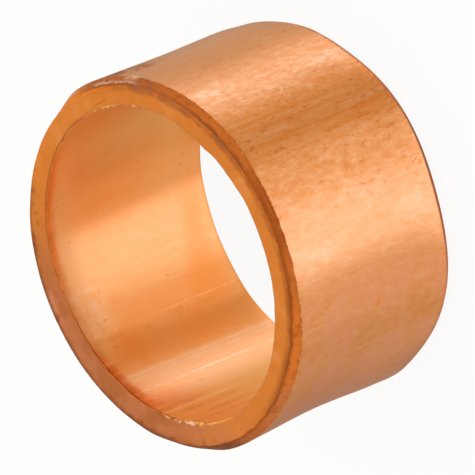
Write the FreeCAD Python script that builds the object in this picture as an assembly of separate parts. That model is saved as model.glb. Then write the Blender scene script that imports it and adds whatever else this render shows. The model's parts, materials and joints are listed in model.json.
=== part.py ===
import FreeCAD, Part
import os

# Compression olive: the soft copper ring that a nut squeezes on to a tube to seal a compression joint.
# One turned piece, standing on one end. The bore axis is +Z and the origin is the centre of the lower end face.
# All sizes are in millimetres.

tube_diameter = 10.0       # outside of the tube that the olive slides on to
bore_clearance = 0.15      # bore over tube, on the diameter
wall = 0.85                # bore to outside, at the two ends of the body
length = 6.6               # from one end face to the other
waist_depth = 0.07         # how far the middle of the outside dips below its ends, on the radius
bevel_length = 0.25        # outer bevel at each end, along the axis
bevel_depth = 0.19         # the same bevel, on the radius
bevel_edge_radius = 0.08   # soft edge on both sides of each outer bevel
bore_edge_radius = 0.05    # soft edge where the bore meets each end face

bore_radius = (tube_diameter + bore_clearance) / 2
body_radius = bore_radius + wall
waist_radius = body_radius - waist_depth
face_radius = body_radius - bevel_depth


def section_point(radius, height):
    return FreeCAD.Vector(radius, 0, height)


def olive_section():
    """Half section of the ring: bore, end faces, bevels and the shallow arc of the waist."""
    bore_foot = section_point(bore_radius, 0)
    bore_head = section_point(bore_radius, length)
    lower_face_rim = section_point(face_radius, 0)
    upper_face_rim = section_point(face_radius, length)
    lower_body_rim = section_point(body_radius, bevel_length)
    upper_body_rim = section_point(body_radius, length - bevel_length)
    waist = section_point(waist_radius, length / 2)
    edges = [
        Part.LineSegment(bore_foot, lower_face_rim),
        Part.LineSegment(lower_face_rim, lower_body_rim),
        Part.Arc(lower_body_rim, waist, upper_body_rim),
        Part.LineSegment(upper_body_rim, upper_face_rim),
        Part.LineSegment(upper_face_rim, bore_head),
        Part.LineSegment(bore_head, bore_foot),
    ]
    return Part.Face(Part.Wire([edge.toShape() for edge in edges]))


def rims_at(solid, radius):
    """Circular edges of the solid that have this radius."""
    circles = [edge for edge in solid.Edges if isinstance(edge.Curve, Part.Circle)]
    return [edge for edge in circles if abs(edge.Curve.Radius - radius) < Part.Precision.confusion()]


def make_olive():
    """The whole ring, turned from its section, with its sharp edges taken off."""
    axis_foot = FreeCAD.Vector(0, 0, 0)
    axis_direction = FreeCAD.Vector(0, 0, 1)
    ring = olive_section().revolve(axis_foot, axis_direction)
    ring = ring.makeFillet(bevel_edge_radius, rims_at(ring, face_radius) + rims_at(ring, body_radius))
    ring = ring.makeFillet(bore_edge_radius, rims_at(ring, bore_radius))
    return ring


def main():
    os.makedirs("parts", exist_ok=True)
    olive = make_olive()
    olive.exportStep("parts/olive.step")
    print("olive", "valid", olive.isValid(), "solids", len(olive.Solids), "volume mm3", round(olive.Volume, 3))


main()
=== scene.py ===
import json
import math
import bpy
from mathutils import Matrix, Vector


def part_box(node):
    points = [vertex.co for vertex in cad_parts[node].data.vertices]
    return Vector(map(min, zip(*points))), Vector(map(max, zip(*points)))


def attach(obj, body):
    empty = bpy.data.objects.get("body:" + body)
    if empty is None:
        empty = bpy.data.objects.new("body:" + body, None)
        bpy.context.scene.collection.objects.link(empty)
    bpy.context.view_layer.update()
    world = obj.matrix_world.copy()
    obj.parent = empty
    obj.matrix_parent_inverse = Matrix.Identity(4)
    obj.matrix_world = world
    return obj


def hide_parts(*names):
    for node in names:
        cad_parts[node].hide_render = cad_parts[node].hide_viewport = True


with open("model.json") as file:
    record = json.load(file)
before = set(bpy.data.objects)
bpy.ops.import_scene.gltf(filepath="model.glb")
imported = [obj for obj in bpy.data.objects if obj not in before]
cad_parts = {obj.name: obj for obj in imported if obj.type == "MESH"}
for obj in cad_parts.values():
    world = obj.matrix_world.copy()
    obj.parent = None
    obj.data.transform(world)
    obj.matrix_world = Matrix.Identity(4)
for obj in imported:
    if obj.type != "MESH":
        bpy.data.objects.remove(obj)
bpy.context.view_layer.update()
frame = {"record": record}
mm = 0.001
perMm = (1 / mm, 1 / mm, 1 / mm)  # turns a place in metres into millimetres

# sizes that the frame gives, in metres
oliveLow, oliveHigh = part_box("olive")
pipeBore = next(mount for mount in frame["record"]["mounts"] if mount["name"] == "pipe_bore")
boreRadius = pipeBore["dims"]["r_mm"] * mm
bodyRadius = (oliveHigh.x - oliveLow.x) / 2
ringLength = oliveHigh.z - oliveLow.z
print("frame: bore", boreRadius, "body", round(bodyRadius, 6), "length", round(ringLength, 6))


# small helpers for node trees

def addNode(tree, kind, inputs=None, **settings):
    node = tree.nodes.new(kind)
    for name, value in settings.items():
        setattr(node, name, value)
    for key, value in (inputs or {}).items():
        feed(tree, value, node.inputs[key])
    return node


def feed(tree, value, socket):
    if isinstance(value, bpy.types.NodeSocket):
        tree.links.new(value, socket)
    else:
        socket.default_value = value


def calc(tree, operation, *values, clamp=False):
    inputs = dict(enumerate(values))
    return addNode(tree, "ShaderNodeMath", inputs, operation=operation, use_clamp=clamp).outputs[0]


def chain(tree, operation, values):
    result = values[0]
    for value in values[1:]:
        result = calc(tree, operation, result, value)
    return result


def product(tree, *values):
    return chain(tree, "MULTIPLY", values)


def total(tree, *values):
    return chain(tree, "ADD", values)


def largest(tree, *values):
    return chain(tree, "MAXIMUM", values)


def opposite(tree, share):
    return calc(tree, "SUBTRACT", 1.0, share)


# low at the start, high at the end, eased between them
def fade(tree, value, start, end, low=0.0, high=1.0):
    sockets = {"Value": value, "From Min": start, "From Max": end, "To Min": low, "To Max": high}
    return addNode(tree, "ShaderNodeMapRange", sockets, interpolation_type="SMOOTHSTEP").outputs["Result"]


def scaled(tree, vector, factors):
    node = addNode(tree, "ShaderNodeVectorMath", {0: vector, 1: factors}, operation="MULTIPLY")
    return node.outputs["Vector"]


def noise(tree, vector, scale, detail, roughness, seed):
    sockets = {"Vector": vector, "W": seed, "Scale": scale, "Detail": detail, "Roughness": roughness}
    return addNode(tree, "ShaderNodeTexNoise", sockets, noise_dimensions="4D").outputs[0]


# a pattern from 0 to 1, moved to swing about zero
def swing(tree, pattern):
    return calc(tree, "SUBTRACT", pattern, 0.5)


def blendValue(tree, amount, first, second):
    return addNode(tree, "ShaderNodeMix", {0: amount, 2: first, 3: second}, data_type="FLOAT").outputs[0]


# a colour with another one over it, as strong as the amounts multiplied together
def layer(tree, colour, over, *amounts):
    inputs = {0: product(tree, *amounts), 6: colour, 7: over}
    return addNode(tree, "ShaderNodeMix", inputs, data_type="RGBA").outputs[2]


# where a point is on the ring: distance from the axis, height, and degrees round from the camera's side
def ringPlace(tree, vector):
    axes = addNode(tree, "ShaderNodeSeparateXYZ", {0: vector}).outputs
    flat = scaled(tree, vector, (1, 1, 0))
    radius = addNode(tree, "ShaderNodeVectorMath", {0: flat}, operation="LENGTH").outputs["Value"]
    turn = calc(tree, "DEGREES", calc(tree, "ARCTAN2", axes["X"], product(tree, axes["Y"], -1.0)))
    return radius, axes["Z"], turn


# 1 at the middle of a stretch of the ring, 0 past its reach on both sides (degrees)
def around(tree, turn, middle, reach, full=0.0):
    away = calc(tree, "ABSOLUTE", calc(tree, "WRAP", calc(tree, "SUBTRACT", turn, middle), 180.0, -180.0))
    return fade(tree, away, reach, full)


# the same from a table's row: degrees round, reach, reach at full strength, strength
def stretch(tree, turn, row):
    return product(tree, around(tree, turn, *row[:3]), row[3])


def stretches(tree, turn, table):
    return [stretch(tree, turn, row) for row in table]


def namedStretches(tree, turn, table):
    return {name: stretch(tree, turn, row) for name, row in table.items()}


# 1 on a line, 0 past half its width
def lineAt(tree, value, middle, halfWidth):
    return fade(tree, calc(tree, "ABSOLUTE", calc(tree, "SUBTRACT", value, middle)), halfWidth, 0.0)


# the ring: a section with bevels, soft edges and a waist, swept round the bore axis, then knocked about

olive = {
    "waistDepth": 0.07 * mm,
    "bevelLength": 0.25 * mm,
    "bevelDepth": 0.19 * mm,
    "bevelSoftness": 0.08 * mm,
    "boreSoftness": 0.05 * mm,
    "softSteps": 3,
    "segments": 960,
    "cutSpacing": 0.16,         # of the square root of a run in millimetres
    "waistLean": 0.04 * mm,     # waist shallower on one side than on the other
    "waistLeanTurn": 90.0,
    "upperSwell": 0.045 * mm,   # upper end: larger, and pushed to one side
    "upperShift": 0.03 * mm,
    "upperShiftTurn": -130.0,
    "lowerSwell": 0.015 * mm,   # lower end: a little larger and wavy, smaller at the back
    "lowerDrop": 0.125 * mm,
    "lowerWaves": 0.085 * mm,
    "lowerWaveCount": 6.0,
    "lowerWavesTurn": 18.0,
    "wander": 0.025 * mm,       # smaller lobes
    "knockInside": 0.10 * mm,   # how far inside the end face's rim a knock starts
    "tornDepth": 0.12 * mm,     # how far down the torn upper edges go, and how far at full strength
    "tornFull": 0.03 * mm,
    "rimWidth": 0.12 * mm,      # uneven rim of the end face, and how much of it sags
    "rimRag": 0.05 * mm,
    "rimSag": 0.6,
    "mouthWidth": 0.08 * mm,    # uneven edge of the upper mouth, with torn flecks
    "mouthFull": 0.02 * mm,
    "mouthRag": 0.07 * mm,
    "burr": 0.045 * mm,
    "seed": 4.0,
}

# flat knocks on the upper rim: degrees round, reach, reach at full depth, depth
rimKnocks = ((125.0, 28.0, 15.0, 0.13 * mm), (-113.0, 18.0, 6.0, 0.07 * mm))

# where the bore is pushed in, at its mouth, at its lower end, and in a lip on the mouth's edge:
# degrees round, reach, reach at full depth, depth (millimetres)
mouthPushes = ((-165.0, 100.0, 0.0, 0.18), (-22.0, 36.0, 14.0, 0.055), (20.0, 11.0, 4.0, 0.045))
footPushes = ((178.0, 26.0, 10.0, 0.06),)
mouthLips = ((38.0, 12.0, 4.0, 0.085),)

# shares of the height: where the wear of each end, the knocks and the lip start, and where they are full
upperWear, lowerWear, knockWear, lipWear = (0.45, 0.85), (0.20, 0.02), (0.55, 0.96), (0.965, 0.99)

# degrees round: where the lower end's waves stop, and where its smaller back starts on both sides
wavesStop = (60.0, 40.0)
backStarts = ((44.0, 76.0), (-78.0, -96.0))

# where the upper bevel's outer edge sits higher or lower:
# degrees round, reach, reach at full rise, rise (millimetres)
bevelRises = ((-8.0, 32.0, 12.0, 0.07), (38.0, 26.0, 10.0, -0.03))

# torn flecks on the upper mouth: degrees round, reach, reach at full strength
burrPlaces = ((-110.0, 20.0, 8.0), (77.0, 18.0, 8.0))

# patterns of the small unevenness: scale (per millimetre), detail, roughness, what the seed gains
wornPatterns = {
    "lobes": (0.22, 1.0, 0.5, 0.0),
    "raggedRim": (2.2, 3.0, 0.6, 1.0),
    "flecks": (5.0, 2.0, 0.5, 2.0),
    "bittenMouth": (3.4, 3.0, 0.65, 3.0),
}
fleckEdge = (0.48, 0.62)   # where a fleck starts in its pattern, and where it is full


def position(tree):
    return addNode(tree, "GeometryNodeInputPosition").outputs[0]


def oliveSection(tree, given):
    # a rectangle squashed so that an even fillet of one step becomes the uneven bevel
    wall = calc(tree, "SUBTRACT", given["bodyRadius"], given["boreRadius"])
    squash = calc(tree, "DIVIDE", given["bevelDepth"], given["bevelLength"])
    squashed = product(tree, given["length"], squash)
    block = addNode(tree, "GeometryNodeCurvePrimitiveQuadrilateral", {"Width": wall, "Height": squashed})
    corner = addNode(tree, "ShaderNodeSeparateXYZ", {0: position(tree)})
    outer = calc(tree, "GREATER_THAN", corner.outputs["X"], 0.0)
    bevelReach = product(tree, outer, given["bevelDepth"])
    bevelled = addNode(tree, "GeometryNodeFilletCurve",
                       {"Curve": block.outputs[0], "Count": 1, "Radius": bevelReach}, mode="POLY")
    back = addNode(tree, "ShaderNodeCombineXYZ", {"X": 1.0, "Y": calc(tree, "DIVIDE", 1.0, squash), "Z": 1.0})
    section = addNode(tree, "GeometryNodeTransform",
                      {"Geometry": bevelled.outputs[0], "Scale": back.outputs[0]})

    # soft edges, the bore's smaller than the bevel's
    extra = calc(tree, "SUBTRACT", given["bevelSoftness"], given["boreSoftness"])
    softness = calc(tree, "MULTIPLY_ADD", outer, extra, given["boreSoftness"])
    softened = addNode(tree, "GeometryNodeFilletCurve",
                       {"Curve": section.outputs[0], "Count": given["softSteps"], "Radius": softness,
                        "Limit Radius": True}, mode="POLY")

    # longer runs get more cuts, though not in proportion
    here = position(tree)
    following = addNode(tree, "GeometryNodeOffsetPointInCurve", {"Offset": 1})
    ahead = addNode(tree, "GeometryNodeFieldAtIndex", {"Index": following.outputs["Point Index"]},
                    data_type="FLOAT_VECTOR")
    tree.links.new(here, ahead.inputs["Value"])
    run = addNode(tree, "ShaderNodeVectorMath", {0: here, 1: ahead.outputs[0]}, operation="DISTANCE")
    runInMm = calc(tree, "DIVIDE", run.outputs["Value"], mm)
    cuts = calc(tree, "DIVIDE", calc(tree, "SQRT", runInMm), given["cutSpacing"])
    fine = addNode(tree, "GeometryNodeSubdivideCurve", {"Curve": softened.outputs[0], "Cuts": cuts})

    # waist: a shallow hollow along the outside, nothing at the bevels
    spot = addNode(tree, "ShaderNodeSeparateXYZ", {0: position(tree)})
    halfBody = calc(tree, "SUBTRACT", product(tree, given["length"], 0.5), given["bevelLength"])
    share = calc(tree, "DIVIDE", spot.outputs["Y"], halfBody)
    hollow = calc(tree, "SUBTRACT", 1.0, product(tree, share, share), clamp=True)
    outside = calc(tree, "GREATER_THAN", spot.outputs["X"], 0.0)
    sink = product(tree, hollow, outside, given["waistDepth"], -1.0)
    inwards = addNode(tree, "ShaderNodeCombineXYZ", {"X": sink})
    return addNode(tree, "GeometryNodeSetPosition",
                   {"Geometry": fine.outputs[0], "Offset": inwards.outputs[0]}).outputs[0]


# swings between plus and minus the amount, so many times round the ring
def lobed(tree, turn, middle, times, amount):
    angle = calc(tree, "RADIANS", product(tree, calc(tree, "SUBTRACT", turn, middle), times))
    return product(tree, calc(tree, "COSINE", angle), amount)


# how far the bore's wall is pushed in (millimetres), from the share of the height
def borePush(tree, turn, along):
    mouth, foot, lip = [total(tree, *stretches(tree, turn, table)) for table in
                        (mouthPushes, footPushes, mouthLips)]
    return total(tree, product(tree, mouth, along), product(tree, foot, opposite(tree, along)),
                 product(tree, lip, fade(tree, along, *lipWear)))


# how far the upper bevel's outer edge sits above its place (millimetres)
def bevelRise(tree, turn):
    return total(tree, *stretches(tree, turn, bevelRises))


def tornPlaces(tree, turn):
    return largest(tree, *[around(tree, turn, *row) for row in burrPlaces])


# what the knocks read at a point, in metres and degrees, with shares of the height and of the wall
def ringSpot(tree, given):
    place = position(tree)
    radius, height, turn = ringPlace(tree, place)
    fromBore = calc(tree, "SUBTRACT", radius, given["boreRadius"])
    belowTop = calc(tree, "SUBTRACT", given["length"], height)
    wall = calc(tree, "SUBTRACT", given["bodyRadius"], given["boreRadius"])
    return {
        "inMm": scaled(tree, place, perMm),
        "flat": scaled(tree, place, (1, 1, 0)),
        "radius": radius,
        "height": height,
        "turn": turn,
        "fromBore": fromBore,
        "along": calc(tree, "DIVIDE", height, given["length"]),
        "across": calc(tree, "DIVIDE", fromBore, wall, clamp=True),
        "faceRadius": calc(tree, "SUBTRACT", given["bodyRadius"], given["bevelDepth"]),
        "torn": fade(tree, belowTop, given["tornDepth"], given["tornFull"]),
    }


def wornPattern(tree, given, spot, name):
    scale, detail, roughness, gain = wornPatterns[name]
    return noise(tree, spot["inMm"], scale, detail, roughness, total(tree, given["seed"], gain))


# ends a little out of size and out of round, a leaning waist, small lobes all over
def unevenBody(tree, given, spot):
    turn, along = spot["turn"], spot["along"]
    shift = lobed(tree, turn, given["upperShiftTurn"], 1.0, given["upperShift"])
    upper = total(tree, given["upperSwell"], shift)
    waves = lobed(tree, turn, given["lowerWavesTurn"], given["lowerWaveCount"], given["lowerWaves"])
    waves = product(tree, waves, fade(tree, turn, *wavesStop))
    atBack = largest(tree, *[fade(tree, turn, *side) for side in backStarts])
    drop = product(tree, atBack, given["lowerDrop"])
    lower = total(tree, calc(tree, "SUBTRACT", waves, drop), given["lowerSwell"])
    ends = total(tree, product(tree, upper, fade(tree, along, *upperWear)),
                 product(tree, lower, fade(tree, along, *lowerWear)))
    atMiddle = product(tree, along, opposite(tree, along), 4.0)
    lean = product(tree, lobed(tree, turn, given["waistLeanTurn"], 1.0, given["waistLean"]), atMiddle)
    lobes = product(tree, swing(tree, wornPattern(tree, given, spot, "lobes")), given["wander"])
    return total(tree, product(tree, total(tree, ends, lean), spot["across"]), lobes)


def knockedRim(tree, given, spot):
    inside = calc(tree, "SUBTRACT", spot["faceRadius"], given["knockInside"])
    knocks = total(tree, *stretches(tree, spot["turn"], rimKnocks))
    return product(tree, knocks, fade(tree, spot["along"], *knockWear),
                   fade(tree, spot["radius"], inside, given["bodyRadius"]))


def raggedRim(tree, given, spot):
    rim = product(tree, lineAt(tree, spot["radius"], spot["faceRadius"], given["rimWidth"]), spot["torn"])
    ragged = swing(tree, wornPattern(tree, given, spot, "raggedRim"))
    return product(tree, rim, ragged, given["rimRag"])


def raggedMouth(tree, given, spot):
    edge = product(tree, fade(tree, spot["fromBore"], given["mouthWidth"], given["mouthFull"]), spot["torn"])
    bitten = swing(tree, wornPattern(tree, given, spot, "bittenMouth"))
    flecks = fade(tree, wornPattern(tree, given, spot, "flecks"), *fleckEdge)
    burrs = product(tree, edge, tornPlaces(tree, spot["turn"]), flecks, given["burr"])
    return calc(tree, "SUBTRACT", product(tree, edge, bitten, given["mouthRag"]), burrs)


def bevelShift(tree, given, spot):
    edge = calc(tree, "SUBTRACT", given["length"], given["bevelLength"])
    return product(tree, bevelRise(tree, spot["turn"]), mm,
                   lineAt(tree, spot["height"], edge, given["bevelLength"]),
                   fade(tree, spot["radius"], spot["faceRadius"], given["bodyRadius"]))


def knockAbout(tree, given, ring):
    spot = ringSpot(tree, given)
    rim = raggedRim(tree, given, spot)
    pushed = product(tree, borePush(tree, spot["turn"], spot["along"]), mm, opposite(tree, spot["across"]))
    inwards = total(tree, pushed, knockedRim(tree, given, spot))
    uneven = total(tree, unevenBody(tree, given, spot), rim, raggedMouth(tree, given, spot))
    outwards = calc(tree, "SUBTRACT", uneven, inwards)
    sag = product(tree, calc(tree, "ABSOLUTE", rim), given["rimSag"])
    upwards = calc(tree, "SUBTRACT", bevelShift(tree, given, spot), sag)
    direction = addNode(tree, "ShaderNodeVectorMath", {0: spot["flat"]}, operation="NORMALIZE")
    sideways = addNode(tree, "ShaderNodeVectorMath", {0: direction.outputs["Vector"], "Scale": outwards},
                       operation="SCALE")
    lift = addNode(tree, "ShaderNodeCombineXYZ", {"Z": upwards})
    offset = addNode(tree, "ShaderNodeVectorMath", {0: sideways.outputs["Vector"], 1: lift.outputs[0]},
                     operation="ADD")
    return addNode(tree, "GeometryNodeSetPosition",
                   {"Geometry": ring, "Offset": offset.outputs["Vector"]}).outputs[0]


def oliveTree(sizes, material):
    tree = bpy.data.node_groups.new("oliveTree", "GeometryNodeTree")
    sockets = {}
    for name, value in sizes.items():
        kind = "NodeSocketInt" if isinstance(value, int) else "NodeSocketFloat"
        sockets[name] = tree.interface.new_socket(name=name, in_out="INPUT", socket_type=kind)
    tree.interface.new_socket(name="Geometry", in_out="OUTPUT", socket_type="NodeSocketGeometry")
    given = addNode(tree, "NodeGroupInput").outputs

    middle = product(tree, total(tree, given["bodyRadius"], given["boreRadius"]), 0.5)
    path = addNode(tree, "GeometryNodeCurvePrimitiveCircle",
                   {"Resolution": given["segments"], "Radius": middle})
    swept = addNode(tree, "GeometryNodeCurveToMesh",
                    {"Curve": path.outputs[0], "Profile Curve": oliveSection(tree, given)})
    lift = addNode(tree, "ShaderNodeCombineXYZ", {"Z": product(tree, given["length"], 0.5)})
    stood = addNode(tree, "GeometryNodeTransform",
                    {"Geometry": swept.outputs[0], "Translation": lift.outputs[0]})
    worn = knockAbout(tree, given, stood.outputs[0])
    smooth = addNode(tree, "GeometryNodeSetShadeSmooth", {"Geometry": worn})
    whole = addNode(tree, "GeometryNodeRealizeInstances", {"Geometry": smooth.outputs[0]})
    dressed = addNode(tree, "GeometryNodeSetMaterial", {"Geometry": whole.outputs[0], "Material": material})
    addNode(tree, "NodeGroupOutput", {"Geometry": dressed.outputs[0]})
    return tree, sockets


def makeOlive(settings, material):
    sizes = dict(settings, boreRadius=boreRadius, bodyRadius=bodyRadius, length=ringLength)
    ring = bpy.data.objects.new("copperOlive", bpy.data.meshes.new("copperOliveStart"))
    bpy.context.scene.collection.objects.link(ring)
    tree, sockets = oliveTree(sizes, material)
    modifier = ring.modifiers.new("oliveTree", "NODES")
    modifier.node_group = tree
    for name, value in sizes.items():
        modifier[sockets[name].identifier] = value
    graph = bpy.context.evaluated_depsgraph_get()
    mesh = bpy.data.meshes.new_from_object(ring.evaluated_get(graph))
    ring.modifiers.remove(modifier)
    ring.data = mesh
    return ring


# copper: drawn outside, satin cut ends, tarnished bevels, smooth bore

copper = {
    "outside": (0.76, 0.30, 0.105, 1),
    "bore": (0.80, 0.325, 0.104, 1),
    "endFace": (0.86, 0.27, 0.045, 1),
    "bevel": (0.66, 0.175, 0.031, 1),
    "bevelDark": (0.44, 0.095, 0.017, 1),
    "bevelLight": (0.88, 0.225, 0.038, 1),
    "rimBrown": (0.44, 0.110, 0.020, 1),   # soft line round the end face
    "dull": (0.53, 0.162, 0.058, 1),       # one side of the end face
    "tarnish": (0.70, 0.207, 0.033, 1),    # drawn-in dirt
    "deep": (0.84, 0.225, 0.035, 1),       # strongly coloured patches
    "film": (0.90, 0.42, 0.110, 1),        # dull skin in the bore
    "filmOrange": (0.97, 0.45, 0.096, 1),
    "fleck": (0.57, 0.145, 0.018, 1),
    "spot": (0.20, 0.070, 0.026, 1),       # nearly black dirt
    # painted shade where the bevel is seen edge-on
    "edgeShade": (0.18, 0.052, 0.017, 1),
    "stain": (0.42, 0.12, 0.035, 1),
    "plum": (0.40, 0.13, 0.055, 1),
    "grime": (0.17, 0.085, 0.042, 1),
    # painted highlight on the rim's fillet
    "rimHighlight": (0.66, 0.45, 0.34, 1),
    "pink": (0.74, 0.25, 0.115, 1),
    "pinkSkin": (0.79, 0.295, 0.155, 1),
    "mouthSkin": (0.92, 0.42, 0.14, 1),
    "mouthLine": (0.46, 0.110, 0.020, 1),
    # painted reflection: copper's orange glow mirrored in the mouth
    "mouthReflectedOrange": (0.88, 0.200, 0.018, 1),
    "paleScrapeAndHighlight": (0.98, 0.66, 0.43, 1),         # freshly scraped, and painted highlight in glints, bright patches, bright bands and pale die marks
    # mottle, and a painted highlight where it makes the highlight bands and torn flecks paler
    "peachAndHighlight": (0.96, 0.56, 0.30, 1),
    "tornAndHighlight": (0.98, 0.70, 0.55, 1),       # torn edges, pale as a painted highlight
    "edgeTint": (1.00, 0.94, 0.88, 1),     # grazing reflections
    "sheen": 0.08,                         # of the dull film and the oxide
    "outsideRoughness": 0.255,
    "mottledRoughness": 0.10,              # more on the outside, by the mottle
    "boreRoughness": 0.28,
    "faceRoughness": 0.38,
    "bevelRoughness": 0.36,
    "rimRoughness": 0.62,
    "filmRoughness": 0.42,
    "filmMetal": 0.55,
    "cleanMetal": 0.98,
    "oxideRoughness": 0.60,
    "oxideMetal": 0.05,
    "relief": 0.007 * mm,
}

# share of each pattern in the relief: more on the outside, everywhere
reliefShares = {"grain": (0.55, 0.20), "waves": (0.70, 0.20), "fineStreaks": (0.20, 0.12)}

# the ring's sizes for the copper, in millimetres
lengthMm = ringLength / mm
boreMm = boreRadius / mm
faceRimMm = (bodyRadius - olive["bevelDepth"]) / mm
bevelStartMm = (ringLength / 2 - olive["bevelLength"]) / mm   # from half height

# stretches of dull film in the bore, by their colour, and of the skin by the mouth:
# degrees round, reach, reach at full strength
boreFilms = {"film": (105.0, 48.0, 14.0), "filmOrange": (254.0, 30.0, 14.0)}
mouthSkinPlace = (164.0, 46.0, 32.0)
mouthSkinHeight = (5.2, 6.3)   # where it starts and where it is full (millimetres)


# the copper's patterns: how much x, y and z count, scale (per millimetre), detail, roughness, seed
copperPatterns = {
    "streaks": ((1, 1, 0.05), 6.5, 3.0, 0.6, 1.0),
    "fineStreaks": ((1, 1, 0.05), 11.0, 2.0, 0.5, 2.0),
    "dashes": ((1, 1, 0.3), 8.0, 3.0, 0.6, 3.0),
    "mottle": ((1, 1, 0.5), 5.0, 5.0, 0.72, 4.0),
    "clouds": ((1, 1, 1), 0.9, 3.0, 0.55, 5.0),
    "ragged": ((1, 1, 1), 2.6, 4.0, 0.65, 6.0),
    "specks": ((1, 1, 0.5), 6.0, 3.0, 0.6, 7.0),
    "rimClouds": ((1, 1, 1), 1.6, 4.0, 0.65, 8.0),
    "torn": ((1, 1, 1), 5.0, 2.0, 0.5, 9.0),
    "grain": ((1, 1, 0.5), 8.0, 3.0, 0.6, 10.0),
    "waves": ((1, 1, 0.5), 2.4, 2.0, 0.5, 11.0),
    "patchy": ((1, 1, 0.5), 1.3, 3.0, 0.6, 12.0),
    "glints": ((1, 1, 0.4), 9.0, 2.0, 0.6, 13.0),
    "broken": ((0.6, 0.6, 1), 1.7, 4.0, 0.7, 14.0),
}

# patterns that are used with a soft edge: where it starts, where it is full, what is left before it
softPatterns = {"torn": (0.44, 0.58, 0.0), "patchy": (0.38, 0.58, 0.1), "broken": (0.40, 0.58, 0.1)}

# how far the ragged pattern and the specks move the end face's rim and the body's end (millimetres)
edgeFray = {"fromRim": (0.14, 0.10), "fromBody": (0.12, 0.16)}

# where each zone starts and where it is full, from its edge (millimetres)
zoneEdges = {"end": (-0.04, 0.01), "face": (0.02, -0.04), "bore": (0.07, 0.03)}


def makePatterns(tree, place):
    patterns = {name: noise(tree, scaled(tree, place, counts), *shape)
                for name, (counts, *shape) in copperPatterns.items()}
    patterns["ragged"] = swing(tree, patterns["ragged"])
    for name, edge in softPatterns.items():
        patterns[name] = fade(tree, patterns[name], *edge)
    return patterns


# one of the places with its edge made ragged
def frayed(tree, here, name, amount):
    return total(tree, here[name], product(tree, here["ragged"], amount))


# what the copper reads at a point: the patterns, places in millimetres and degrees, and zones of the ring
def copperSpot(tree):
    place = scaled(tree, addNode(tree, "ShaderNodeTexCoord").outputs["Object"], perMm)
    radius, height, turn = ringPlace(tree, place)
    here = dict(makePatterns(tree, place), radius=radius, height=height, turn=turn)
    here["belowTop"] = calc(tree, "SUBTRACT", lengthMm, height)

    # distances out from the bore's wall and from the end face's rim, and on from the end of the body
    pushed = borePush(tree, turn, calc(tree, "DIVIDE", height, lengthMm))
    here["fromBore"] = total(tree, calc(tree, "SUBTRACT", radius, boreMm), pushed)
    here["fromRim"] = calc(tree, "SUBTRACT", radius, faceRimMm)
    fromMiddle = calc(tree, "ABSOLUTE", calc(tree, "SUBTRACT", height, lengthMm / 2))
    here["fromBody"] = calc(tree, "SUBTRACT", fromMiddle, bevelStartMm)
    speckled = swing(tree, here["specks"])
    rimEdge, bodyEdge = [total(tree, frayed(tree, here, name, rag), product(tree, speckled, speck))
                         for name, (rag, speck) in edgeFray.items()]
    here["frayedRim"] = rimEdge
    here["frayedBody"] = calc(tree, "SUBTRACT", bodyEdge, bevelRise(tree, turn))

    here["endZone"] = fade(tree, here["frayedBody"], *zoneEdges["end"])
    here["faceZone"] = product(tree, here["endZone"], fade(tree, here["frayedRim"], *zoneEdges["face"]))
    here["boreZone"] = fade(tree, here["fromBore"], *zoneEdges["bore"])
    here["notEnd"] = opposite(tree, here["endZone"])
    here["notFace"] = opposite(tree, here["faceZone"])
    here["notBore"] = opposite(tree, here["boreZone"])
    here["byMouth"] = product(tree, around(tree, turn, *mouthSkinPlace),
                              fade(tree, height, *mouthSkinHeight))
    films = [around(tree, turn, *row) for row in boreFilms.values()]
    filmed = largest(tree, *films, product(tree, here["byMouth"], 0.8))
    here["filmZone"] = product(tree, filmed, here["boreZone"])
    return here


# marks of the drawing die along the ring: degrees round, half width (degrees), how dark (below 0, pale: a
# painted highlight along the mark)
outsideMarks = ((21.0, 2.0, 0.55), (26.4, 1.5, 0.45), (24.0, 0.9, -0.10), (16.2, 0.8, 0.15),
                (-37.0, 0.35, -0.30), (-52.0, 0.4, -0.22), (-6.0, 0.6, 0.15), (9.0, 0.5, 0.18),
                (-2.5, 0.4, -0.20), (41.0, 0.5, -0.22), (44.5, 0.4, -0.22), (109.0, 0.4, -0.22),
                (119.0, 0.6, 0.30), (146.0, 0.9, 0.35), (149.5, 0.4, -0.22), (171.0, 0.5, -0.25),
                (-158.0, 0.7, 0.30), (-131.0, 0.5, -0.22), (-128.0, 0.8, 0.25), (-99.0, 0.6, 0.25))
boreMarks = ((195.0, 0.5, -0.22), (222.5, 0.8, -0.45), (222.5, 0.3, -0.30), (197.5, 2.2, 0.40),
             (238.0, 1.0, -0.45), (244.5, 0.8, -0.45), (251.0, 0.7, -0.35), (167.0, 0.4, 0.12),
             (172.0, 0.4, 0.12), (178.5, 0.4, -0.12), (214.5, 0.5, -0.20), (216.5, 0.4, -0.15))


def dieMarks(tree, here, colour, marks, pattern):
    for middle, halfWidth, depth in marks:
        # dark marks are drawn-in tarnish; pale marks are painted highlights along the marks
        over = copper["tarnish"] if depth > 0 else copper["paleScrapeAndHighlight"]
        line = around(tree, here["turn"], middle, halfWidth)
        colour = layer(tree, colour, over, line, here[pattern], abs(depth))
    return colour


# a patch with a frayed edge: degrees round, reach (degrees), lowest and highest (millimetres), strength
def patch(tree, here, row, fray):
    middle, reach, low, high, strength = row
    across = around(tree, frayed(tree, here, "turn", fray), middle, reach, reach * 0.2)
    return product(tree, across, lineAt(tree, here["height"], (low + high) / 2, high - low), strength)


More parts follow.
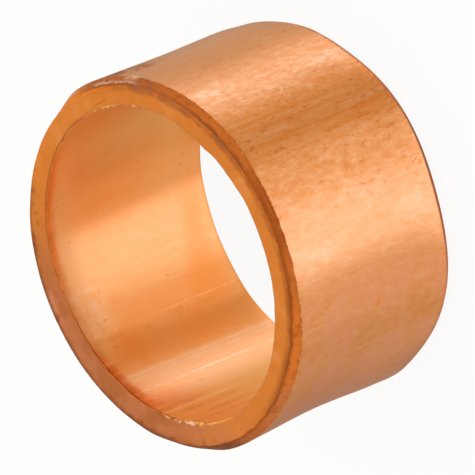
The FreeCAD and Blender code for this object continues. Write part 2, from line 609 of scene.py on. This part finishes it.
# stretches of the outside: degrees round, reach, reach at full strength, strength
outsidePlaces = {
    # a darker band: drawn-in dirt and painted shade of a dark reflected stretch
    "drawnShadedBand": (24.0, 11.0, 6.0, 1.0),
    "golden": (34.5, 4.5, 2.0, 0.45),
    "pinkish": (-62.0, 44.0, 20.0, 0.85),
    "warm": (-45.0, 50.0, 20.0, 0.25),
    "lively": (25.0, 40.0, 14.0, 0.58),
    "orange": (44.0, 20.0, 10.0, 0.35),
    "crowded": (18.0, 38.0, 12.0, 1.0),
    "dashed": (24.0, 14.0, 7.0, 0.5),
    "blot": (-38.0, 2.4, 0.0, 0.7),
}
# painted glints in the two highlight bands: degrees round, reach, reach at full strength, strength
highlightGlintPlaces = ((42.0, 12.0, 4.0, 1.0), (-9.0, 14.0, 5.0, 0.25))
# painted highlight: a paler tone in the two highlight bands, and paler near 81 degrees
highlightPalerPlaces = ((42.0, 12.0, 4.0, 0.06), (-9.0, 16.0, 6.0, 0.12), (81.0, 14.0, 7.0, 0.14))
fleckPlaces = ((63.0, 14.0, 5.0, 0.5), (155.0, 30.0, 8.0, 0.6))

# painted highlight patches in the two highlight bands, as rows for patch
highlightPatches = ((45.5, 4.0, 4.8, 6.2, 0.38), (42.0, 3.0, 0.3, 1.6, 0.36), (-15.0, 5.0, 4.6, 6.2, 0.16),
                 (-12.0, 5.0, 0.4, 1.8, 0.14), (-4.0, 5.0, 2.2, 3.4, 0.08))


def outsideColour(tree, here):
    turn, height = here["turn"], here["height"]
    clouds, ragged, mottle = here["clouds"], here["ragged"], here["mottle"]
    places = namedStretches(tree, turn, outsidePlaces)
    shadedDrawnBand = places["drawnShadedBand"]

    # a darker drawn band, partly drawn-in dirt and partly painted shade, faint streaks all round, lines of
    # the die (the pale ones painted highlights), pinker and warmer clouds on one side
    streaked = total(tree, product(tree, shadedDrawnBand, 0.65), 0.10)
    lines = product(tree, fade(tree, here["streaks"], 0.40, 0.66), streaked)
    dirtAndShade = total(tree, lines, product(tree, shadedDrawnBand, 0.10))
    colour = layer(tree, copper["outside"], copper["tarnish"], dirtAndShade)
    colour = layer(tree, colour, copper["tarnish"], places["golden"])
    colour = dieMarks(tree, here, colour, outsideMarks, "patchy")
    colour = layer(tree, colour, copper["pinkSkin"], places["pinkish"], fade(tree, clouds, 0.60, 0.42),
                   fade(tree, ragged, -0.12, 0.08, 0.3))
    colour = layer(tree, colour, copper["tarnish"], places["warm"], fade(tree, clouds, 0.50, 0.64),
                   fade(tree, ragged, 0.12, -0.08, 0.3))

    # mottled skin, livelier round the band, with painted glints, painted highlight patches and a painted
    # paler tone in the two highlight bands
    lively = total(tree, places["lively"], 0.42)
    notBand = fade(tree, shadedDrawnBand, 0.0, 1.0, 1.0, 0.2)
    colour = layer(tree, colour, copper["tarnish"], fade(tree, mottle, 0.47, 0.72), lively, 0.75)
    colour = layer(tree, colour, copper["peachAndHighlight"], fade(tree, mottle, 0.53, 0.28), lively, notBand, 0.40)
    # painted highlight: paler in the highlight bands
    colour = layer(tree, colour, copper["peachAndHighlight"], total(tree, *stretches(tree, turn, highlightPalerPlaces)))
    # painted glints and painted highlight patches in the highlight bands
    glintBands = largest(tree, *stretches(tree, turn, highlightGlintPlaces))
    colour = layer(tree, colour, copper["paleScrapeAndHighlight"], glintBands, fade(tree, here["glints"], 0.52, 0.70), 0.25)
    shiny = fade(tree, mottle, 0.60, 0.42, 0.4)
    for row in highlightPatches:
        colour = layer(tree, colour, copper["paleScrapeAndHighlight"], patch(tree, here, row, 12.0), shiny)
    colour = layer(tree, colour, copper["deep"], places["orange"], fade(tree, here["grain"], 0.46, 0.34))

    # brown flecks, crowded in and beside the band and towards the lower end
    low = product(tree, places["crowded"], fade(tree, height, 6.0, 2.5, 0.5))
    crowd = largest(tree, low, *stretches(tree, turn, fleckPlaces))
    flecks = calc(tree, "SUBTRACT", here["specks"], fade(tree, crowd, 0.0, 1.0, 0.64, 0.54))
    colour = layer(tree, colour, copper["fleck"], fade(tree, flecks, 0.0, 0.13),
                   fade(tree, clouds, 0.34, 0.54, 0.25), 0.60)
    colour = layer(tree, colour, copper["rimBrown"], places["dashed"], fade(tree, here["dashes"], 0.56, 0.68))
    return layer(tree, colour, copper["deep"], places["blot"], lineAt(tree, height, 3.0, 0.2))


# stretches of the bevel: degrees round, reach (degrees), how dark (below 0, light)
bevelPatches = ((-41.0, 24.0, -0.85), (1.0, 18.0, 0.98), (-84.0, 14.0, 0.40), (30.0, 14.0, -0.25),
                (64.0, 14.0, 0.30))
bevelPink = (-64.0, 14.0, 5.0, 0.35)


def bevelColour(tree, here):
    turn = here["turn"]
    pastRim = fade(tree, here["frayedRim"], 0.0, 0.09)
    colour = layer(tree, copper["rimBrown"], copper["bevel"], pastRim)
    for middle, reach, depth in bevelPatches:
        over = copper["bevelDark"] if depth > 0 else copper["bevelLight"]
        patched = around(tree, turn, middle, reach, reach * 0.3)
        colour = layer(tree, colour, over, patched, pastRim, abs(depth))
    colour = layer(tree, colour, copper["pink"], stretch(tree, turn, bevelPink), pastRim)
    return layer(tree, colour, copper["bevelDark"], fade(tree, here["ragged"], 0.0, 0.14), 0.55)


# stretches of the end face: degrees round, reach, reach at full strength, strength
facePlaces = {
    "dull": (-153.0, 70.0, 28.0, 0.92),
    "pinker": (-140.0, 70.0, 40.0, 0.5),
    "blotched": (-160.0, 80.0, 50.0, 0.6),
    "purple": (172.0, 44.0, 22.0, 0.6),
    "scratched": (85.5, 4.5, 3.0, 0.6),
}
rosyPlace = (179.0, 7.0, 2.0, 0.7)   # with a frayed edge

# brown spots on the end face: degrees round, distance from the axis (millimetres), half width (degrees)
faceSpots = ((150.0, 5.39, 1.2), (147.0, 5.47, 0.8), (156.0, 5.59, 1.0), (165.0, 5.52, 0.9),
             (-128.0, 5.45, 0.7), (-106.0, 5.60, 0.6))
mmPerDegree = 0.09   # round the face

# a slanting scratch: degrees round and millimetres
scratch = {"turn": 82.0, "radius": 5.31, "inwardsPerDegree": 0.014, "halfWidth": 0.035}


def faceColour(tree, here):
    turn, radius, clouds, ragged = here["turn"], here["radius"], here["clouds"], here["ragged"]
    places = namedStretches(tree, turn, facePlaces)
    colour = layer(tree, copper["endFace"], copper["bevel"], fade(tree, clouds, 0.38, 0.66), 0.30)
    colour = layer(tree, colour, copper["tarnish"], fade(tree, here["mottle"], 0.48, 0.66), 0.35)
    colour = layer(tree, colour, copper["paleScrapeAndHighlight"], fade(tree, clouds, 0.48, 0.34), 0.08)

    # duller and dirtier on one side
    colour = layer(tree, colour, copper["dull"], places["dull"])
    colour = layer(tree, colour, copper["pink"], places["pinker"], fade(tree, clouds, 0.42, 0.58))
    colour = layer(tree, colour, copper["rimBrown"], places["blotched"], fade(tree, radius, 5.42, 5.68, 0.15),
                   fade(tree, ragged, 0.02, 0.10))
    colour = layer(tree, colour, copper["plum"], places["purple"], fade(tree, radius, 5.46, 5.70),
                   fade(tree, ragged, -0.04, 0.10))
    rosy = stretch(tree, frayed(tree, here, "turn", 20.0), rosyPlace)
    colour = layer(tree, colour, copper["pinkSkin"], rosy, lineAt(tree, radius, 5.52, 0.22))

    # spots, and one slanting scratch
    wobbly = frayed(tree, here, "turn", 6.0)
    for middle, out, halfWidth in faceSpots:
        spot = product(tree, around(tree, wobbly, middle, halfWidth),
                       lineAt(tree, radius, out, halfWidth * mmPerDegree))
        colour = layer(tree, colour, copper["rimBrown"], spot, 0.8)
    past = calc(tree, "SUBTRACT", turn, scratch["turn"])
    slanted = total(tree, radius, product(tree, past, scratch["inwardsPerDegree"]))
    scratched = lineAt(tree, slanted, scratch["radius"], scratch["halfWidth"])
    return layer(tree, colour, copper["rimBrown"], scratched, places["scratched"])


# stretches of the bore: degrees round, reach, reach at full strength, strength
borePlaces = {
    "reflectedShadowWedge": (180.0, 26.0, 12.0, 0.55),
    # paler where the side box is mirrored: a painted highlight
    "paintedBoreHighlight": (170.0, 18.0, 10.0, 0.035),
    "scuffed": (186.0, 13.0, 6.0, 0.22),
}

# deeper orange, as rows for patch: tarnish, and at 201 to 207 degrees also painted shade deepening a dark
# reflected band
borePatches = ((204.0, 13.0, 4.3, 6.2, 0.9), (207.0, 11.0, 0.5, 4.0, 0.75), (145.0, 22.0, 2.0, 6.4, 0.65),
               (191.0, 9.0, 1.5, 5.0, 0.35), (201.0, 14.0, 1.0, 5.5, 0.3), (231.0, 9.0, 4.8, 6.6, 0.45),
               (162.0, 14.0, 0.2, 1.1, 0.45), (132.0, 20.0, -0.2, 0.8, 0.5))

# a slanting wedge of painted shade, a shadow mirrored in the bore: degrees round, and millimetres of height
# where its edges start and where they are full
reflectedShadowWedge = {"turn": 160.0, "risePerDegree": 0.042, "upperEdge": (1.0, 0.2), "lowerEdge": (0.1, 0.9),
         "fray": 0.8}

# a painted highlight band: degrees round where each side starts and where it is full, strength
paintedBoreBand = {"sharpSide": (212.6, 214.0), "softSide": (240.0, 230.0), "strength": 0.11}

# soft brown streaks, strongest by the mouth: degrees round, half width (degrees), amount
boreStreaks = ((235.5, 2.0, 0.40), (241.5, 2.2, 0.65), (248.0, 2.0, 0.55), (253.5, 2.4, 0.35))


def boreColour(tree, here):
    turn, height, ragged = here["turn"], here["height"], here["ragged"]
    places = namedStretches(tree, turn, borePlaces)
    colour = layer(tree, copper["bore"], copper["bevelLight"],
                   fade(tree, here["fineStreaks"], 0.48, 0.66), 0.26)
    colour = layer(tree, colour, copper["deep"], fade(tree, here["mottle"], 0.46, 0.64), 0.18)
    for name, row in boreFilms.items():
        colour = layer(tree, colour, copper[name], around(tree, turn, *row), 0.8)
    for row in borePatches:
        colour = layer(tree, colour, copper["deep"], patch(tree, here, row, 16.0))

    # painted shade: a shadow mirrored in the bore, as a deeper orange wedge near the lower end, higher on one
    # side
    wholeTurn = calc(tree, "WRAP", turn, 360.0, 0.0)
    past = calc(tree, "SUBTRACT", wholeTurn, reflectedShadowWedge["turn"])
    rise = product(tree, past, reflectedShadowWedge["risePerDegree"])
    slanted = calc(tree, "SUBTRACT", frayed(tree, here, "height", reflectedShadowWedge["fray"]), rise)
    colour = layer(tree, colour, copper["deep"], fade(tree, slanted, *reflectedShadowWedge["upperEdge"]),
                   fade(tree, height, *reflectedShadowWedge["lowerEdge"]), places["reflectedShadowWedge"])

    # a painted highlight band with one sharp side, a paler stretch that is a painted highlight, skin and
    # scuffs by the mouth, lines of the die (the pale ones painted highlights)
    colour = layer(tree, colour, copper["paleScrapeAndHighlight"], fade(tree, wholeTurn, *paintedBoreBand["sharpSide"]),
                   fade(tree, wholeTurn, *paintedBoreBand["softSide"]), paintedBoreBand["strength"])
    colour = layer(tree, colour, copper["paleScrapeAndHighlight"], places["paintedBoreHighlight"])
    colour = layer(tree, colour, copper["mouthSkin"], here["byMouth"], 0.7)
    colour = layer(tree, colour, copper["paleScrapeAndHighlight"], places["scuffed"], fade(tree, height, 4.8, 5.8),
                   fade(tree, ragged, -0.10, 0.10))
    colour = dieMarks(tree, here, colour, boreMarks, "broken")
    wavy = frayed(tree, here, "turn", 3.0)
    higher = fade(tree, height, 3.2, 5.4, 0.3)
    for middle, halfWidth, amount in boreStreaks:
        colour = layer(tree, colour, copper["tarnish"], around(tree, wavy, middle, halfWidth), higher,
                       here["patchy"], amount)
    colour = layer(tree, colour, copper["bevelDark"], fade(tree, here["specks"], 0.63, 0.72), 0.4)
    return layer(tree, colour, copper["endFace"], fade(tree, height, 0.16, 0.06, 0.0, 0.7))


# stretches of the rim between end face and bevel: degrees round, reach, reach at full strength, strength
rimPlaces = {
    "brown": (5.0, 92.0, 58.0, 1.0),
    "brownAside": (-160.0, 70.0, 30.0, 0.4),
    "violet": (46.0, 34.0, 16.0, 0.6),
    # painted shade where the bevel is seen edge-on
    "shadedUnderside": (-140.0, 60.0, 45.0, 0.9),
    "shadedAside": (-170.0, 62.0, 46.0, 0.65),
}


# a soft brown line where the end face meets the bevel, violet and crusted in places, and on one side painted
# shade where the bevel is seen edge-on
def rimColour(tree, here, colour):
    places = namedStretches(tree, here["turn"], rimPlaces)
    endZone, frayedRim = here["endZone"], here["frayedRim"]
    line = product(tree, fade(tree, frayedRim, -0.27, -0.03), fade(tree, frayedRim, 0.10, 0.02), endZone)
    brown = largest(tree, places["brown"], places["brownAside"])
    colour = layer(tree, colour, copper["rimBrown"], line, brown,
                   fade(tree, here["rimClouds"], 0.34, 0.56, 0.45), 0.85)
    colour = layer(tree, colour, copper["plum"], line, places["violet"],
                   fade(tree, here["ragged"], -0.12, 0.06))
    colour = layer(tree, colour, copper["spot"], lineAt(tree, frayedRim, 0.02, 0.08), endZone, brown,
                   fade(tree, here["clouds"], 0.46, 0.60), 0.35)
    # painted shade along the edge seen edge-on
    shadedUnderside = product(tree, fade(tree, here["fromRim"], -0.02, 0.06), endZone, places["shadedUnderside"])
    uneven = fade(tree, frayed(tree, here, "fromRim", 0.30), -0.17, -0.02)
    shadedAside = product(tree, uneven, endZone, places["shadedAside"])
    shadedEdge = largest(tree, shadedAside, shadedUnderside)
    return layer(tree, colour, copper["edgeShade"], shadedEdge), shadedEdge


# stretches of the stain by the upper end: degrees round, reach, reach at full strength, strength
stainPlaces = {
    "stained": (85.0, 14.0, 8.0, 1.0),
    "brownish": (84.0, 19.0, 9.0, 0.15),
    "plum": (65.0, 10.0, 5.0, 0.8),
    # painted highlights: a pale spot on the body's edge and a line on the rim's fillet
    "edgeGlint": (70.5, 4.0, 1.5, 0.9),
    "rimHighlighted": (77.0, 12.0, 7.0, 0.85),
}
grimePlace = (92.0, 16.0, 4.0, 0.75)   # these with frayed edges
blotchPlace = (76.5, 2.6, 0.6, 0.8)
barePlace = (124.0, 36.0, 25.0, 0.9)


# a brown stain on body and bevel, a bare stretch beside it, then a pale spot on the body's edge and a pale
# line on the rim, both painted highlights
def stainColour(tree, here, colour, shadedEdge):
    places = namedStretches(tree, here["turn"], stainPlaces)
    belowTop, ragged, frayedRim = here["belowTop"], here["ragged"], here["frayedRim"]
    onStain = product(tree, places["stained"], fade(tree, belowTop, 2.4, 0.9),
                      fade(tree, frayedRim, 0.02, 0.08), here["notBore"])
    colour = layer(tree, colour, copper["stain"], places["brownish"], fade(tree, belowTop, 2.2, 0.5),
                   here["notBore"], here["notFace"])
    colour = layer(tree, colour, copper["plum"], places["plum"], here["endZone"], here["notFace"],
                   fade(tree, ragged, -0.10, 0.08))
    stained = product(tree, onStain, fade(tree, ragged, -0.14, 0.06), 0.9)
    colour = layer(tree, colour, copper["stain"], stained)
    colour = layer(tree, colour, copper["spot"], onStain, fade(tree, here["specks"], 0.50, 0.62), 0.5)
    grimy = product(tree, stretch(tree, frayed(tree, here, "turn", 34.0), grimePlace),
                    fade(tree, frayed(tree, here, "belowTop", -2.6), 2.9, 1.5), here["notBore"],
                    here["notEnd"], fade(tree, here["mottle"], 0.30, 0.56, 0.35))
    colour = layer(tree, colour, copper["grime"], grimy)
    blotch = product(tree, stretch(tree, frayed(tree, here, "turn", 12.0), blotchPlace),
                     lineAt(tree, belowTop, 1.4, 0.30))
    colour = layer(tree, colour, copper["stain"], blotch)
    bare = product(tree, stretch(tree, frayed(tree, here, "turn", 30.0), barePlace), here["endZone"],
                   fade(tree, frayedRim, -0.06, 0.02))
    colour = layer(tree, colour, copper["endFace"], bare)
    oxide = product(tree, largest(tree, shadedEdge, grimy, stained, blotch), opposite(tree, bare))

    # painted highlights: a pale spot and a pale line on the rim
    colour = layer(tree, colour, copper["paleScrapeAndHighlight"], places["edgeGlint"], lineAt(tree, belowTop, 0.28, 0.16),
                   fade(tree, ragged, -0.14, 0.0), here["notBore"])
    colour = layer(tree, colour, copper["rimHighlight"], places["rimHighlighted"], lineAt(tree, frayedRim, 0.09, 0.045),
                   fade(tree, belowTop, 0.35, 0.2), fade(tree, here["specks"], 0.34, 0.52))
    return colour, oxide


# the edge between bevel and body: frayed and brown, with a few pale flecks that are painted highlights
def edgeColour(tree, here, colour):
    colour = layer(tree, colour, copper["bevelDark"], lineAt(tree, here["frayedBody"], -0.01, 0.05),
                   here["notBore"], fade(tree, here["grain"], 0.44, 0.58), 0.6)
    # pale flecks: painted highlights on the edge
    return layer(tree, colour, copper["paleScrapeAndHighlight"], lineAt(tree, here["fromBody"], 0.0, 0.06),
                 fade(tree, here["dashes"], 0.36, 0.28), here["notBore"], 0.8)


# stretches of the upper mouth: degrees round, reach, reach at full strength, strength
mouthPlaces = {
    # painted reflected glow on the bore's side of the mouth
    "reflectedGlow": (146.0, 38.0, 12.0, 0.7),
    "under": (214.0, 46.0, 26.0, 0.8),
    "lined": (172.0, 95.0, 68.0, 0.8),
    "darker": (220.0, 34.0, 20.0, 0.4),
    "smeared": (-109.0, 9.0, 3.0, 0.6),
}


# the mouth's edge: deep orange on the bore's side in one stretch, a painted reflection of copper glowing in
# copper, brown further round; a thin brown line on the face's side; torn flecks, pale as a painted highlight
def mouthColour(tree, here, colour):
    places = namedStretches(tree, here["turn"], mouthPlaces)
    fromBore, belowTop, torn = here["fromBore"], here["belowTop"], here["torn"]
    uneven = frayed(tree, here, "fromBore", 0.08)
    inBore = fade(tree, uneven, 0.035, 0.015)
    # painted reflection: orange glow of copper mirrored in copper
    colour = layer(tree, colour, copper["mouthReflectedOrange"], inBore, places["reflectedGlow"],
                   fade(tree, frayed(tree, here, "belowTop", -0.5), 0.36, 0.08))
    colour = layer(tree, colour, copper["mouthLine"], inBore, places["under"],
                   fade(tree, belowTop, 0.10, 0.04))
    line = product(tree, fade(tree, uneven, 0.085, 0.055), fade(tree, uneven, 0.004, 0.022),
                   fade(tree, belowTop, 0.07, 0.03))
    colour = layer(tree, colour, copper["mouthLine"], line, places["lined"])
    colour = layer(tree, colour, copper["spot"], line, places["darker"])
    burrs = product(tree, lineAt(tree, fromBore, 0.03, 0.05), fade(tree, belowTop, 0.12, 0.04),
                    tornPlaces(tree, here["turn"]))
    colour = layer(tree, colour, copper["mouthLine"], burrs, opposite(tree, torn), 0.5)
    # torn flecks: real torn metal, pale as a painted highlight
    colour = layer(tree, colour, copper["peachAndHighlight"], burrs, torn, 0.6)
    # torn edges, pale as a painted highlight
    return layer(tree, colour, copper["tornAndHighlight"], fade(tree, fromBore, 0.13, 0.04),
                 fade(tree, belowTop, 0.16, 0.05), places["smeared"], torn)


# outside, browner close to the bevels, then bevels, end faces and their edges, then the bore and its mouth
def copperColour(tree, here):
    colour = outsideColour(tree, here)
    nearEnd = fade(tree, frayed(tree, here, "frayedBody", 0.3), -0.22, 0.02)
    colour = layer(tree, colour, copper["bevel"], nearEnd, 0.20)
    colour = layer(tree, colour, bevelColour(tree, here), here["endZone"])
    colour = layer(tree, colour, faceColour(tree, here), here["faceZone"])
    colour, shadedEdge = rimColour(tree, here, colour)
    colour, oxide = stainColour(tree, here, colour, shadedEdge)
    colour = edgeColour(tree, here, colour)
    colour = layer(tree, colour, boreColour(tree, here), here["boreZone"])
    return mouthColour(tree, here, colour), oxide


# roughness and metal by zone, and a relief of grain, waves and streaks
def copperFinish(tree, here, oxide):
    mottled = product(tree, here["mottle"], copper["mottledRoughness"])
    roughness = total(tree, mottled, copper["outsideRoughness"])
    rimZone = product(tree, lineAt(tree, here["fromRim"], 0.02, 0.12), here["endZone"])
    for zone, name in ((here["endZone"], "bevel"), (here["faceZone"], "face"), (rimZone, "rim"),
                       (here["boreZone"], "bore"), (here["filmZone"], "film"), (oxide, "oxide")):
        roughness = blendValue(tree, zone, roughness, copper[name + "Roughness"])
    metal = blendValue(tree, here["filmZone"], copper["cleanMetal"], copper["filmMetal"])
    metal = blendValue(tree, oxide, metal, copper["oxideMetal"])
    onOutside = product(tree, here["notBore"], here["notEnd"])
    relief = total(tree, *[product(tree, here[name], total(tree, product(tree, onOutside, more), everywhere))
                           for name, (more, everywhere) in reliefShares.items()])
    bump = addNode(tree, "ShaderNodeBump", {"Height": relief, "Strength": 1.0, "Distance": copper["relief"]})
    return {"Roughness": roughness, "Metallic": metal, "Normal": bump.outputs["Normal"]}


def makeCopper():
    material = bpy.data.materials.new("drawnCopper")
    material.use_nodes = True
    tree = material.node_tree
    shader = tree.nodes["Principled BSDF"]
    here = copperSpot(tree)
    colour, oxide = copperColour(tree, here)
    feed(tree, colour, shader.inputs["Base Color"])
    shader.inputs["Specular Tint"].default_value = copper["edgeTint"]
    shader.inputs["Specular IOR Level"].default_value = copper["sheen"]
    for name, value in copperFinish(tree, here, oxide).items():
        feed(tree, value, shader.inputs[name])
    print("copper: nodes", len(tree.nodes))
    return material


drawnCopper = makeCopper()
copperOlive = makeOlive(olive, drawnCopper)
print("olive: faces", len(copperOlive.data.polygons))
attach(copperOlive, "root")
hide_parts("olive")


# studio: a light table, so the copper mirrors the soft boxes round it and not the white floor

studio = {
    "floorSize": 3.0,
    "floorGlow": 0.92,
    "floorColour": (0.9, 0.9, 0.9, 1),
    "worldColour": (0.76, 0.75, 0.66, 1),
    "worldShade": (0.42, 0.35, 0.31, 1),   # under the table, at the back
    "shadeFrom": (-170, -55),              # azimuth and elevation, degrees
    "shadeReach": (0.74, 0.97),            # cosines of the angle from there, at its edge and at full strength
    "boxDistance": 0.30,
}

mirrored = -38.6   # elevation that the upright outside mirrors to the camera (degrees)
boxHeight = 44     # degrees

# name, azimuth from the camera's side, elevation, width, height (degrees), brightness, tint
softBoxes = (
    ("sideSpill", -60, mirrored, 40, boxHeight, 0.20, (0.95, 1.0, 1.3)),
    ("sideBox", -23, mirrored, 32, boxHeight, 0.60, (0.73, 1.0, 1.6)),
    ("sideBoxEdge", -19, mirrored, 46, boxHeight, 0.42, (0.80, 1.0, 1.6)),
    ("sideFill", 14, mirrored, 38, boxHeight, 0.40, (0.95, 1.0, 1.25)),
    ("topBox", 88, mirrored, 18, boxHeight, 0.48, (0.82, 1.02, 1.52)),
    ("topBoxEdge", 86, mirrored, 44, boxHeight, 0.38, (0.84, 1.02, 1.52)),
    ("tableLamp", 115, 60, 66, 66, 1.3, (1.0, 1.0, 1.0)),
)


def makeFloor(settings):
    half = settings["floorSize"] / 2
    mesh = bpy.data.meshes.new("floor")
    corners = [(-half, -half, 0), (half, -half, 0), (half, half, 0), (-half, half, 0)]
    mesh.from_pydata(corners, [], [(0, 1, 2, 3)])
    floor = bpy.data.objects.new("floor", mesh)
    bpy.context.scene.collection.objects.link(floor)
    material = bpy.data.materials.new("lightTable")
    material.use_nodes = True
    tree = material.node_tree
    tree.nodes.remove(tree.nodes["Principled BSDF"])
    sheet = addNode(tree, "ShaderNodeBsdfDiffuse", {"Color": settings["floorColour"]})
    glow = addNode(tree, "ShaderNodeEmission", {"Strength": 1.0})
    both = addNode(tree, "ShaderNodeMixShader",
                   {0: settings["floorGlow"], 1: sheet.outputs[0], 2: glow.outputs[0]})
    tree.links.new(both.outputs[0], tree.nodes["Material Output"].inputs["Surface"])
    mesh.materials.append(material)
    floor.visible_glossy = False
    floor.visible_diffuse = False
    floor.visible_shadow = False


def towards(azimuth, elevation):
    a, e = math.radians(azimuth), math.radians(elevation)
    return Vector((math.cos(e) * math.sin(a), -math.cos(e) * math.cos(a), math.sin(e)))


# length that spans an angle, seen from a distance
def spanning(angle, distance):
    return 2 * distance * math.tan(math.radians(angle / 2))


def makeSoftBoxes(settings):
    middle = Vector((0, 0, ringLength / 2))
    distance = settings["boxDistance"]
    for name, azimuth, elevation, width, height, brightness, tint in softBoxes:
        lamp = bpy.data.lights.new(name, "AREA")
        lamp.shape = "RECTANGLE"
        lamp.size = spanning(width, distance) * math.cos(math.radians(elevation))
        lamp.size_y = spanning(height, distance)
        lamp.energy = brightness * math.pi * lamp.size * lamp.size_y
        lamp.color = tint
        box = bpy.data.objects.new(name, lamp)
        direction = towards(azimuth, elevation)
        facing = direction.to_track_quat("Z", "Y").to_matrix().to_4x4()
        box.matrix_world = Matrix.Translation(middle + direction * distance) @ facing
        bpy.context.scene.collection.objects.link(box)


def makeWorld(settings):
    world = bpy.data.worlds.new("studio")
    world.use_nodes = True
    tree = world.node_tree
    direction = addNode(tree, "ShaderNodeTexCoord").outputs["Generated"]
    shadeFrom = towards(*settings["shadeFrom"])
    facing = addNode(tree, "ShaderNodeVectorMath", {0: direction, 1: shadeFrom}, operation="DOT_PRODUCT")
    shade = fade(tree, facing.outputs["Value"], *settings["shadeReach"])
    colour = layer(tree, settings["worldColour"], settings["worldShade"], shade)
    feed(tree, colour, tree.nodes["Background"].inputs["Color"])
    bpy.context.scene.world = world


makeFloor(studio)
makeSoftBoxes(studio)
makeWorld(studio)
print("studio: floor,", len(softBoxes), "soft boxes, world")


# camera: near the photo's flat perspective, rolled so that the bore axis points to the lower left

view = {
    "elevation": 38.62,       # above the standing ring's end face, degrees
    "roll": -112.65,
    "distance": 90,           # bore radii, from the upper end face
    "boreRadiusPixels": 167.5,
    "imagePixels": 475,
    "faceCentre": (159.0, 266.1),   # where the upper end face's centre falls, pixels
    "sensor": 36.0,
}


def makeCamera(settings):
    e, roll = math.radians(settings["elevation"]), math.radians(settings["roll"])
    back = towards(0, settings["elevation"])
    levelRight = Vector((1, 0, 0))
    levelUp = Vector((0, math.sin(e), math.cos(e)))
    right = math.cos(roll) * levelRight + math.sin(roll) * levelUp
    up = math.cos(roll) * levelUp - math.sin(roll) * levelRight
    perPixel = boreRadius / settings["boreRadiusPixels"]
    centre = settings["imagePixels"] / 2
    aside = (centre - settings["faceCentre"][0]) * perPixel
    above = (settings["faceCentre"][1] - centre) * perPixel
    aim = Vector((0, 0, ringLength)) + aside * right + above * up
    data = bpy.data.cameras.new("photoCamera")
    data.sensor_width = settings["sensor"]
    boreShare = settings["boreRadiusPixels"] / settings["imagePixels"]
    data.lens = settings["sensor"] * settings["distance"] * boreShare
    camera = bpy.data.objects.new("photoCamera", data)
    axes = Matrix((right, up, back)).transposed().to_4x4()
    camera.matrix_world = Matrix.Translation(aim + back * settings["distance"] * boreRadius) @ axes
    bpy.context.scene.collection.objects.link(camera)
    bpy.context.scene.camera = camera
    print("camera: lens", round(data.lens, 1), "at", [round(v, 4) for v in camera.location])


makeCamera(view)
bpy.context.scene.view_settings.view_transform = "Standard"
